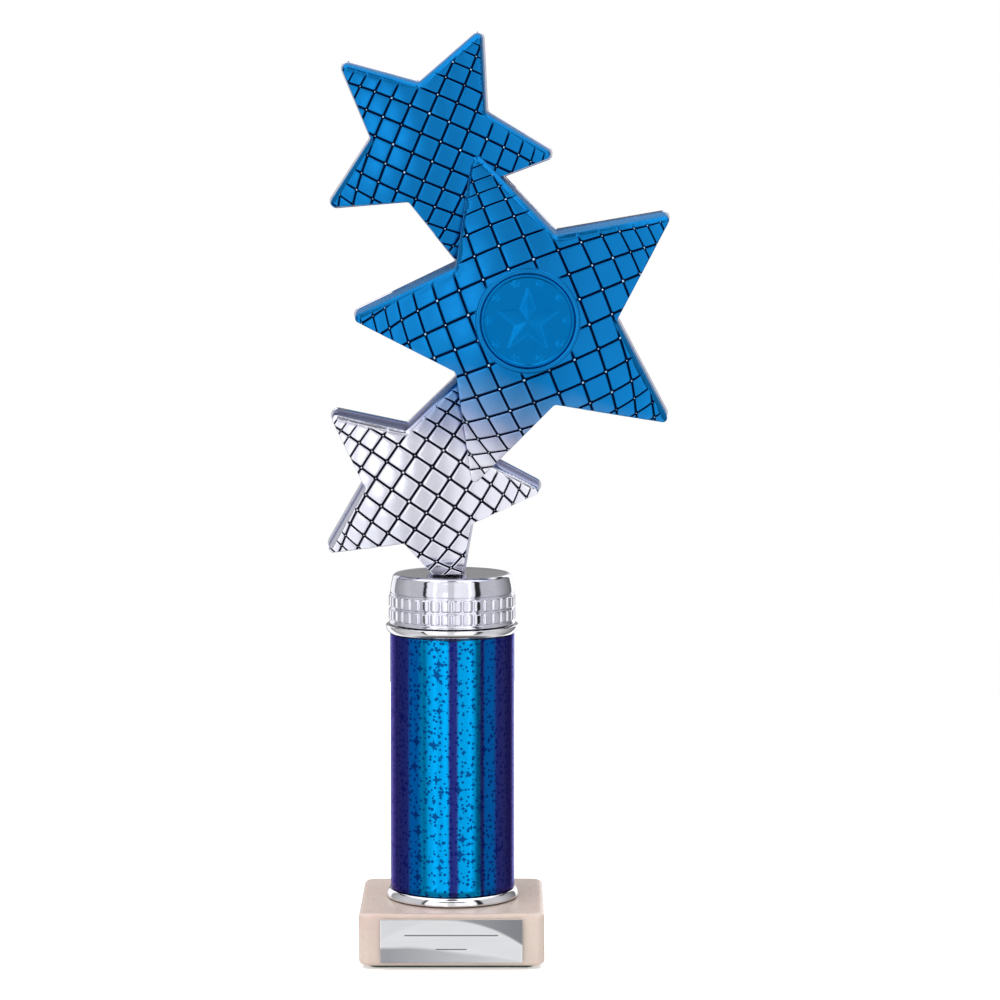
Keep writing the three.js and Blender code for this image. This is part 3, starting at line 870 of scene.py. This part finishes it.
def caps():
    """The lower cap opens upwards and the upper one downwards, so that both plug into the tube."""
    low, _ = cad("lower_end_cap")
    profile = cap_profile(wide=18.0, narrow=17.3, hole=2.3, rim=low.z)
    piece("cap_lower", lathe(profile), CAP_LOOK, "lower_end_cap", smooth=50)
    _, high = cad("upper_end_cap")
    profile = [(radius, high.z - z) for radius, z in cap_profile(wide=18.1, narrow=17.2, hole=4.6)]
    piece("cap_upper", lathe(profile), CAP_LOOK, "upper_end_cap", smooth=50)


RISER_TILES = 36
RISER_TILE = 2.55  # a tile's width round the riser, of a pitch of about 3
RISER_FOOT = cad("riser")[0].z
RISER_ROWS = ((RISER_FOOT + 1.1, RISER_FOOT + 4.1), (RISER_FOOT + 4.65, RISER_FOOT + 7.75))
RISER_FLOOR = 16.85  # radius of the grooves between the tiles
RISER_RAISE = 0.42
RISER_CORNER = 0.5  # of a tile
RISER_PITCH = TAU * 17.1 / RISER_TILES


def tile_steps(pitch, gap):
    """Positions across one tile and its gap, crowded where the tile's edges are."""
    half = [0, gap / 2 - 0.06, gap / 2 + 0.02, gap / 2 + 0.1, gap / 2 + 0.2, gap / 2 + 0.36, 0.85]
    return half + [pitch / 2] + [pitch - step for step in half[:0:-1]]


def riser_raise(around, z):
    """How far the riser's surface stands out from its grooves. around is measured from a gap's middle."""
    bottom, top = min(RISER_ROWS, key=lambda row: abs(z - sum(row) / 2))
    half, across = RISER_TILE / 2, around - RISER_PITCH / 2
    edge = inside_tile(across, z - (bottom + top) / 2, half, (top - bottom) / 2, RISER_CORNER)
    swell = 0.05 * (1 - (across / half) ** 2)
    rise = np.clip(edge / 0.34, 0, 1)
    return RISER_RAISE * np.sin(rise * math.pi / 2) + np.where(edge > 0, swell, 0)


def riser():
    """The riser: two rows of small rounded tiles, a thin groove, a smooth band and a dished top."""
    low, high = cad("riser")
    rise = high.z - low.z
    steps = tile_steps(RISER_PITCH, RISER_PITCH - RISER_TILE)
    around = np.array(steps * RISER_TILES)
    angles = np.array([(tile + step / RISER_PITCH) * TAU / RISER_TILES
                       for tile in range(RISER_TILES) for step in steps])
    heights = [low.z + 0.25, low.z + 0.5, low.z + 0.75]
    for bottom, top in RISER_ROWS:
        edge = (-0.12, 0.02, 0.1, 0.2, 0.36, 0.7)
        heights += [bottom + step for step in edge] + [(bottom + top) / 2] + [top - step for step in edge]
    heights = sorted(set(round(z, 3) for z in heights))
    rings = [ring(15.6, low.z + 0.15, angles), ring(15.75, low.z, angles), ring(16.9, low.z, angles),
             ring(17.1, low.z + 0.08, angles), ring(17.15, low.z + 0.25, angles)]
    for z in heights[1:]:
        if z < RISER_ROWS[0][0] - 0.15:
            rings.append(ring(17.12 if z < low.z + 0.7 else 16.95, z, angles))
        else:
            rings.append(ring(RISER_FLOOR + riser_raise(around, z), z, angles))
    smooth_part = (
        [(16.95, 8.05), (17.0, 8.22), (16.92, 8.32), (16.62, 8.38), (16.6, 8.5), (16.8, 8.58), (16.84, 8.7)]
        + [(16.84 - 0.55 * t ** 1.6, 8.7 + 3.5 * t) for t in (0.15, 0.3, 0.45, 0.6, 0.8, 1.0)]
        + arc(14.95, 12.22, 1.34, 5, 82, 9)
        + [(14.85, rise - 0.26), (14.6, rise - 0.32), (13.9, rise - 0.42), (12.0, rise - 0.5),
           (9.0, rise - 0.5), (5.5, rise - 0.42), (2.6, rise - 0.4), (2.3, rise - 0.5)]
        + [(2.3, 12.3), (2.5, 12.2), (8.0, 12.2), (14.2, 12.2), (14.6, 11.9), (15.2, 8.0)])
    smooth_part = [(radius, low.z + z) for radius, z in smooth_part]
    rings += [ring(radius, z, angles) for radius, z in smooth_part]
    piece("riser_tiled", loft(rings), SILVER_LOOK, "riser", smooth=60)


FOIL_INSIDE = 16.8
FOIL_LAP, FOIL_STEP = 5.0, 0.13  # width of the overlap, and the step down at its edge


def foil_sleeve():
    """The foil wrapped once round the tube, with its end lapped over its start at the back."""
    low, high = cad("column_foil")
    angles = np.linspace(math.pi - 0.001, -math.pi + 0.001, 289)
    past_lap = (math.pi - angles) * FOIL_RADIUS - FOIL_LAP
    outer = FOIL_RADIUS - FOIL_STEP * np.clip(past_lap / 1.2, 0, 1)
    inner = np.full(len(angles), FOIL_INSIDE)
    around = np.concatenate([angles, angles[::-1]])
    radius = np.concatenate([outer, inner])
    heights = [low.z, low.z + 0.05] + list(np.linspace(low.z + 2, high.z - 2, 24)) + [high.z - 0.05, high.z]
    shrink = [0.05] + [0] * (len(heights) - 2) + [0.05]
    wave = [0.015 * noise.noise(Vector((0.3 * z, 0, 0))) for z in heights]
    rings = [ring(radius - s + w, z, around) for z, s, w in zip(heights, shrink, wave)]
    piece("foil_wrap", loft(rings, loop=False), FOIL_LOOK, "column_foil", smooth=50)


# ---- Base, pad and plate -------------------------------------------------------------------------


def square_angles(steps=56, crowd=18):
    """Angles round a rounded square, crowded at its corners."""
    side = list(np.linspace(-0.72, 0.72, steps - crowd)) + list(np.linspace(0.735, 0.84, crowd))
    return np.array([quarter * math.pi / 2 + a for quarter in range(4) for a in side])


def square_ring(half, corner, z, angles):
    """A level rounded square of that half width, met along each angle."""
    points = []
    for a in angles:
        direction = Vector((math.sin(a), -math.cos(a)))
        reach = half / max(abs(direction.x), abs(direction.y))
        point = direction * reach
        middle = Vector((math.copysign(half - corner, point.x), math.copysign(half - corner, point.y)))
        if abs(point.x) > half - corner and abs(point.y) > half - corner:
            along = direction.dot(middle)
            reach = along + math.sqrt(max(along * along - middle.length_squared + corner * corner, 0))
            point = direction * reach
        points.append((point.x, point.y, z))
    return points


MARBLE_FILLET, MARBLE_CORNER = 1.35, 2.7
MARBLE_FOOT_CORNERS = (2.4,) * 4 + (2.9,) * 4  # the corner's radius up the lower fillet, worn unevenly
ROD_HOLE, NUT_RECESS_TOP = 2.3, 9.0


def marble_base():
    """The marble block, tumbled on every edge, with the rod's hole and the nut's recess below."""
    low, high = cad("marble_base")
    half = high.x
    angles = square_angles()
    foot, top = low.z + MARBLE_FILLET, high.z - MARBLE_FILLET
    lower_fillet = arc(half - MARBLE_FILLET, foot, MARBLE_FILLET, -90, 0, 8)
    sides = [(half, z) for z in np.linspace(foot + 1, top - 1, 9)]
    sides += arc(half - MARBLE_FILLET, top, MARBLE_FILLET, 0, 90, 8)
    sides += [(half - inset, high.z) for inset in (2.2, 3.5, 5.5, 8.0)]
    rings = [ring(radius, z, angles) for radius, z in (
        (ROD_HOLE, NUT_RECESS_TOP), (7.9, NUT_RECESS_TOP), (8.0, NUT_RECESS_TOP - 0.2), (8.0, low.z + 0.3),
        (8.3, low.z))]
    rings += [square_ring(half - inset, 2.5, low.z, angles) for inset in (8.0, 4.0)]
    rings += [square_ring(reach, corner, z, angles)
              for corner, (reach, z) in zip(MARBLE_FOOT_CORNERS, lower_fillet)]
    rings += [square_ring(reach, MARBLE_CORNER, z, angles) for reach, z in sides]
    rings += [ring(radius, z, angles) for radius, z in (
        (12, high.z), (ROD_HOLE + 0.3, high.z), (ROD_HOLE, high.z - 0.3))]
    bm = loft(rings)
    for vert in bm.verts:
        if low.z + 0.01 < vert.co.z < high.z - 0.01:
            wear = 0.5 + 0.5 * noise.noise(vert.co * 0.22)
            pits = max(noise.noise(vert.co * 1.3) - 0.35, 0)
            vert.co.x -= math.copysign(0.10 * wear + 0.12 * pits, vert.co.x) * (abs(vert.co.x) > half - 5)
            vert.co.y -= math.copysign(0.04 * wear, vert.co.y) * (abs(vert.co.y) > half - 5)
    piece("marble_block", bm, MARBLE_LOOK, "marble_base", smooth=60)


def felt_pad():
    low, high = cad("felt_pad")
    half = high.x
    angles = square_angles()
    rings = [square_ring(half - inset, 2.0, z, angles) for inset, z in (
        (6, low.z), (1.2, low.z), (0.25, low.z + 0.02), (0.05, low.z + 0.2), (0.0, low.z + 0.45),
        (0.2, high.z - 0.1), (0.6, high.z), (6, high.z))]
    bm = loft(rings, loop=False)
    for vert in bm.verts:
        fuzz = 0.12 * noise.noise(vert.co * 2.1)
        if max(abs(vert.co.x), abs(vert.co.y)) > half - 1:
            vert.co.x -= math.copysign(abs(fuzz), vert.co.x)
            vert.co.y -= math.copysign(abs(fuzz), vert.co.y)
    piece("felt_sheet", bm, FELT_LOOK, "felt_pad", smooth=60)


# (middle across, middle up, half width): the engraved rules, from the plate's middle
ENGRAVED_RULES = ((0.0, 1.65, 12.6), (0.0, -2.1, 4.2))
ENGRAVED_HALF = 0.17  # half of a rule's height


def engraved_depth(x, z):
    """1 inside an engraved line, 0 outside it."""
    marks = [max(abs(x - across) - half, abs(z - up) - ENGRAVED_HALF)
             for across, up, half in ENGRAVED_RULES]
    return min(max(0.5 - min(marks) / 0.08, 0), 1)


def engraving_plate():
    """The self-adhesive plate: a thin sheet with softly cut edges and two plain engraved rules."""
    low, high = cad("engraving_plate")
    middle, half = (low + high) / 2, (high - low) / 2
    bm = bmesh.new()
    xs = np.unique(np.concatenate([np.linspace(-half.x, half.x, 191), [-half.x + 0.08, half.x - 0.08]]))
    zs = np.unique(np.concatenate([np.linspace(-half.z, half.z, 81), [-half.z + 0.08, half.z - 0.08]]))
    layer = bm.verts.layers.float.new("engraved")
    grid = []
    for x in xs:
        column = []
        for z in zs:
            depth = engraved_depth(x, z)
            rim = min(half.x - abs(x), half.z - abs(z))
            bow = 0.03 * noise.noise(Vector((x * 0.12, z * 0.2, 3)))
            y = low.y + 0.06 * depth + 0.05 * max(1 - rim / 0.08, 0) + 0.03 + bow
            vert = bm.verts.new((middle.x + x, y, middle.z + z))
            vert[layer] = depth
            column.append(vert)
        grid.append(column)
    for left, right in zip(grid, grid[1:]):
        for i in range(len(left) - 1):
            bm.faces.new((left[i], right[i], right[i + 1], left[i + 1]))
    close_back(bm, high.y, [layer])
    piece("plate_sheet", bm, PLATE_LOOK, "engraving_plate", smooth=35)


# ---- The centre disc -----------------------------------------------------------------------------

DISC_STAR = 8.6  # reach of the raised star
DISC_STAR_HALF = math.radians(20)  # half of a tip's angle, on the small stars too
DISC_SMALL_RING, DISC_SMALL_COUNT, DISC_SMALL_REACH = 10.3, 10, 1.05
DISC_SPOKES = 220


def disc_relief(x, z):
    """Height of the disc's embossing at points from its middle."""
    distance = np.hypot(x, z)
    depth = inside_star(x, z, DISC_STAR, 90, DISC_STAR_HALF)
    height = np.where(depth > 0, 0.1 + 0.08 * depth, 0.1 * np.maximum(1 + depth / 0.12, 0))
    for i in range(DISC_SMALL_COUNT):
        around = TAU * (i + 0.5) / DISC_SMALL_COUNT + math.pi / 2
        depth = inside_star(x - DISC_SMALL_RING * math.cos(around), z - DISC_SMALL_RING * math.sin(around),
                            DISC_SMALL_REACH, math.degrees(around), DISC_STAR_HALF)
        height = np.maximum(height, np.clip(0.5 + depth / 0.1, 0, 1) * 0.16)
    rim = np.clip((distance - 11.5) / 0.25, 0, 1) * (1 - np.clip((distance - 12.2) / 0.35, 0, 1))
    return height + 0.2 * rim - 0.12 * np.maximum(distance - 12.35, 0)


def centre_disc():
    """The embossed film disc in the middle star's seat."""
    star = STARS["middle"]
    front, back = star["face"] + 0.35, star["face"] + 1.3
    radii = list(np.arange(0.25, 11.4, 0.23)) + [11.5, 11.6, 11.75, 11.9, 12.1, 12.2, 12.35, 12.5, 12.6]
    bm = bmesh.new()
    centre = bm.verts.new((0, front - disc_relief(0, 0), 0))
    last = None
    for radius in radii:
        x, z = circle(radius, DISC_SPOKES).T
        now = [bm.verts.new(point) for point in zip(x, front - disc_relief(x, z), z)]
        for i in range(DISC_SPOKES):
            corners = (last[i - 1], now[i - 1], now[i], last[i]) if last else (centre, now[i - 1], now[i])
            bm.faces.new(corners)
        last = now
    close_back(bm, back)
    bmesh.ops.translate(bm, verts=bm.verts, vec=(star["x"], 0, star["z"]))
    bm.transform(lean_matrix())
    piece("disc_embossed", bm, DISC_LOOK, "centre_disc", smooth=30)


# ---- The back cover ------------------------------------------------------------------------------

# (inset from the outline, y), from the front
COVER_RINGS = ((-0.15, 6.3), (-0.35, 6.45), (-0.35, 8.1), (-0.17, 8.3), (1.9, 8.3), (2.3, 7.9))


def cover_star(name, star, lowered):
    """One star of the cover, with a raised border round a shallow panel, as an object in the scene."""
    rings = [[(x, y - lowered if y > 7 else y + lowered / 3, z) for x, z in star_outline(star, inset)]
             for inset, y in COVER_RINGS]
    bm = loft(rings, loop=False)
    bm.normal_update()
    bmesh.ops.triangulate(bm, faces=[f for f in bm.faces if len(f.verts) > 4])
    bmesh.ops.recalc_face_normals(bm, faces=bm.faces)
    bmesh.ops.translate(bm, verts=bm.verts, vec=(star["x"], 0, star["z"]))
    return add_object(name, bm, scale=1)


def back_cover():
    """The cover that closes the figure's back: three bordered stars joined into one moulding."""
    stars = [cover_star(f"cover_{name}", star, 0.03 * i) for i, (name, star) in enumerate(STARS.items())]
    base = stars[0]
    for other in stars[1:]:
        modifier = base.modifiers.new("join", "BOOLEAN")
        modifier.operation, modifier.solver, modifier.object = "UNION", "MANIFOLD", other
    joined = bpy.data.meshes.new_from_object(base.evaluated_get(bpy.context.evaluated_depsgraph_get()))
    for used in stars:
        bpy.data.objects.remove(used)
    bm = bmesh.new()
    bm.from_mesh(joined)
    bm.normal_update()
    bpy.data.meshes.remove(joined)
    bmesh.ops.triangulate(bm, faces=bm.faces)
    bm.transform(lean_matrix())
    trim_below(bm, FOOT)
    piece("cover_back", bm, SILVER_LOOK, "figure_back_cover", smooth=35)


# ---- Fasteners -----------------------------------------------------------------------------------

THREAD_PITCH = 0.7
THREAD_DEPTH = 0.36


def threaded(name, node):
    """A length of threaded rod with chamfered ends."""
    low, high = cad(node)
    radius, steps = high.x, 24
    angles = np.arange(steps) * TAU / steps
    rings = []
    length = high.z - low.z
    for z in np.arange(low.z, high.z + 1e-6, length / round(length / 0.14)):
        from_end = min(z - low.z, high.z - z)
        turn = (z / THREAD_PITCH - angles / TAU) % 1
        cut = THREAD_DEPTH * np.clip(1.3 * np.abs(2 * turn - 1) - 0.15, 0, 1)
        rings.append(ring(np.minimum(radius - cut, radius - 0.45 + from_end), z, angles))
    piece(name, loft(rings, loop=False), STEEL_LOOK, node, smooth=30)


NUT_HOLE = 2.1
NUT_CHAMFER = ((0.75, 0.12), (0.5, 0.22), (0.25, 0.34), (0.0, 0.5))  # (inset, distance from the end)


def hex_nut(name, node):
    """A chamfered hexagon nut."""
    low, high = cad(node)
    size = high - low
    flats = min(size.x, size.y) / 2
    corners = flats / math.cos(math.pi / 6)
    first = math.pi / 2 if size.x > size.y else 0.0
    angles = np.arange(96) * TAU / 96
    fold = (angles - first + math.pi / 6) % (math.pi / 3) - math.pi / 6
    hexagon = flats / np.cos(math.pi / 6 - np.abs(fold))
    profile = [(NUT_HOLE, 0.3), (NUT_HOLE + 0.3, 0), (flats - 0.2, 0)]
    profile += [(np.minimum(hexagon, corners - inset), step) for inset, step in NUT_CHAMFER]
    rings = [ring(radius, low.z + step, angles) for radius, step in profile]
    rings += [ring(radius, high.z - step, angles) for radius, step in profile[::-1]]
    piece(name, loft(rings), STEEL_LOOK, node, smooth=25)


def washer(name, node, hole):
    """A stamped washer, rounded over on its upper edge."""
    low, high = cad(node)
    radius = high.x
    profile = [(hole, low.z + 0.05), (hole + 0.08, low.z), (radius - 0.06, low.z), (radius, low.z + 0.08),
               (radius, high.z - 0.3), (radius - 0.1, high.z - 0.08), (radius - 0.3, high.z),
               (hole + 0.2, high.z), (hole, high.z - 0.15)]
    piece(name, lathe(profile, 96), STEEL_LOOK, node, smooth=40)


def fasteners():
    threaded("rod_threaded", "tie_rod")
    threaded("stud_threaded", "figure_stud")
    for name in ("base_nut", "riser_nut", "coupling_nut"):
        hex_nut(f"{name}_hex", name)
    for name in ("base_washer", "riser_washer"):
        washer(f"{name}_flat", name, 2.3)


fasteners()
caps()
riser()
foil_sleeve()
marble_base()
felt_pad()
engraving_plate()
centre_disc()
back_cover()


# ---- Lighting and floor --------------------------------------------------------------------------

# (turn, level) round the studio, where 0.5 is straight in front, towards -Y, and turns grow towards +X
SOFT_BOXES = (
    (0.045, 0.25), (0.055, 0.95), (0.12, 0.95), (0.13, 0.3),  # a box behind
    (0.25, 0.58), (0.345, 0.56), (0.35, 0.02), (0.3625, 0.02),  # a grey wall, and the left box's black edge
    (0.367, 1.0), (0.405, 1.0), (0.408, 2.0), (0.414, 2.0), (0.417, 1.0), (0.475, 1.0),  # the left box
    (0.481, 0.7), (0.511, 0.7),  # the gap between the boxes
    (0.517, 1.0), (0.588, 1.0), (0.591, 1.8), (0.597, 1.8), (0.6, 1.0), (0.619, 1.0),  # the right box
    (0.625, 0.02), (0.65, 0.02), (0.658, 0.56), (0.75, 0.58),  # its black edge, and a grey wall
    (0.9, 0.12), (0.915, 1.2), (0.95, 1.2), (1.0, 0.25))  # another box behind
# (height, level), where 0 is straight down, 0.5 is level and 1 is straight up
FLOOR_TO_CEILING = ((0.0, 0.1), (0.06, 0.15), (0.12, 1.0), (0.3, 1.05), (0.4, 1.0), (0.8, 1.0), (0.83, 1.8),
                    (0.93, 2.1))
POLES = ((0.12, 1.0), (0.2, 0.0), (0.82, 0.0), (0.9, 1.0))  # where one plain level replaces the boxes
POLE_LEVEL = 0.75
# (share by turn, share by height, change of level): a dark rail, a lamp and a dark boom over the camera
STUDIO_GEAR = (
    (((0.19, 1), (0.2, 0), (0.425, 0), (0.435, 1), (0.565, 1), (0.575, 0), (0.8, 0), (0.81, 1)),
     ((0.745, 0), (0.755, 1), (0.8, 1), (0.815, 0)), -0.9),
    (((0.455, 0), (0.463, 1), (0.474, 1), (0.48, 0)), ((0.39, 0), (0.42, 1), (0.55, 1), (0.58, 0)), 1.1),
    (((0.455, 0), (0.462, 1), (0.538, 1), (0.545, 0)),
     ((0.86, 0), (0.875, 1), (0.98, 1), (0.99, 0)), -0.94))
STUDIO_POWER = 1.35


def build_world():
    """A pale studio: two tall soft boxes in front, a dim gap between them and dark edges beside them."""
    world = bpy.data.worlds.new("studio")
    world.use_nodes = True
    studio = Nodes(world.node_tree)
    x, y, z = studio.split(studio.node("TexCoord").outputs["Generated"])
    turn = studio.math("ARCTAN2", x, y * -1) / TAU + 0.5
    height = z * 0.5 + 0.5
    boxes = studio.levels(turn, SOFT_BOXES)
    level = boxes + (POLE_LEVEL - boxes) * studio.levels(height, POLES)
    level = level * studio.levels(height, FLOOR_TO_CEILING) * STUDIO_POWER
    for by_turn, by_height, change in STUDIO_GEAR:
        level = level * (studio.levels(turn, by_turn) * studio.levels(height, by_height) * change + 1)
    to_camera = studio.node("LightPath").outputs["Is Camera Ray"]
    studio.feed(studio.tree.nodes["Background"].inputs[0], studio.blend(to_camera, level, WHITE))
    bpy.context.scene.world = world


def area_light(name, place, aim, size, power):
    """A soft light that only shades; the world alone is seen in reflections."""
    data = bpy.data.lights.new(name, "AREA")
    data.shape = "RECTANGLE"
    data.size, data.size_y = size[0] * MM, size[1] * MM
    data.energy = power
    light = bpy.data.objects.new(name, data)
    light.location = Vector(place) * MM
    light.rotation_euler = (Vector(aim) - Vector(place)).to_track_quat("-Z", "Y").to_euler()
    light.visible_camera = False
    light.visible_glossy = False
    bpy.context.scene.collection.objects.link(light)


def floor():
    """White paper that grows bright towards its edge, so that it meets the background unseen."""
    bm = bmesh.new()
    bmesh.ops.create_circle(bm, cap_ends=True, segments=96, radius=520)
    made = add_object("floor", bm)
    look = Look("floor_paper", Roughness=0.9)
    edge = look.ramp(look.length(look.place()), 150, 480, 0.35, 1.0, smooth=True)
    look.set(Base_Color=(0.9, 0.9, 0.9, 1), Emission_Color=(1, 1, 1, 1), Emission_Strength=edge)
    made.data.materials.append(look.material)
    made.visible_glossy = False


build_world()
floor()
area_light("key", (-300, -260, 900), (0, 0, 60), (500, 500), 4.6)
area_light("rear", (0, 800, 900), (0, 0, 120), (900, 500), 4)
bpy.context.scene.view_settings.view_transform = "Standard"

for node_name, look in {
    "plate_adhesive": TAPE_LOOK, "disc_adhesive": TAPE_LOOK, "column_tube": TUBE_LOOK,
    "base_lock_washer": STEEL_LOOK,
}.items():
    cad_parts[node_name].data.materials.clear()
    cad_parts[node_name].data.materials.append(look)
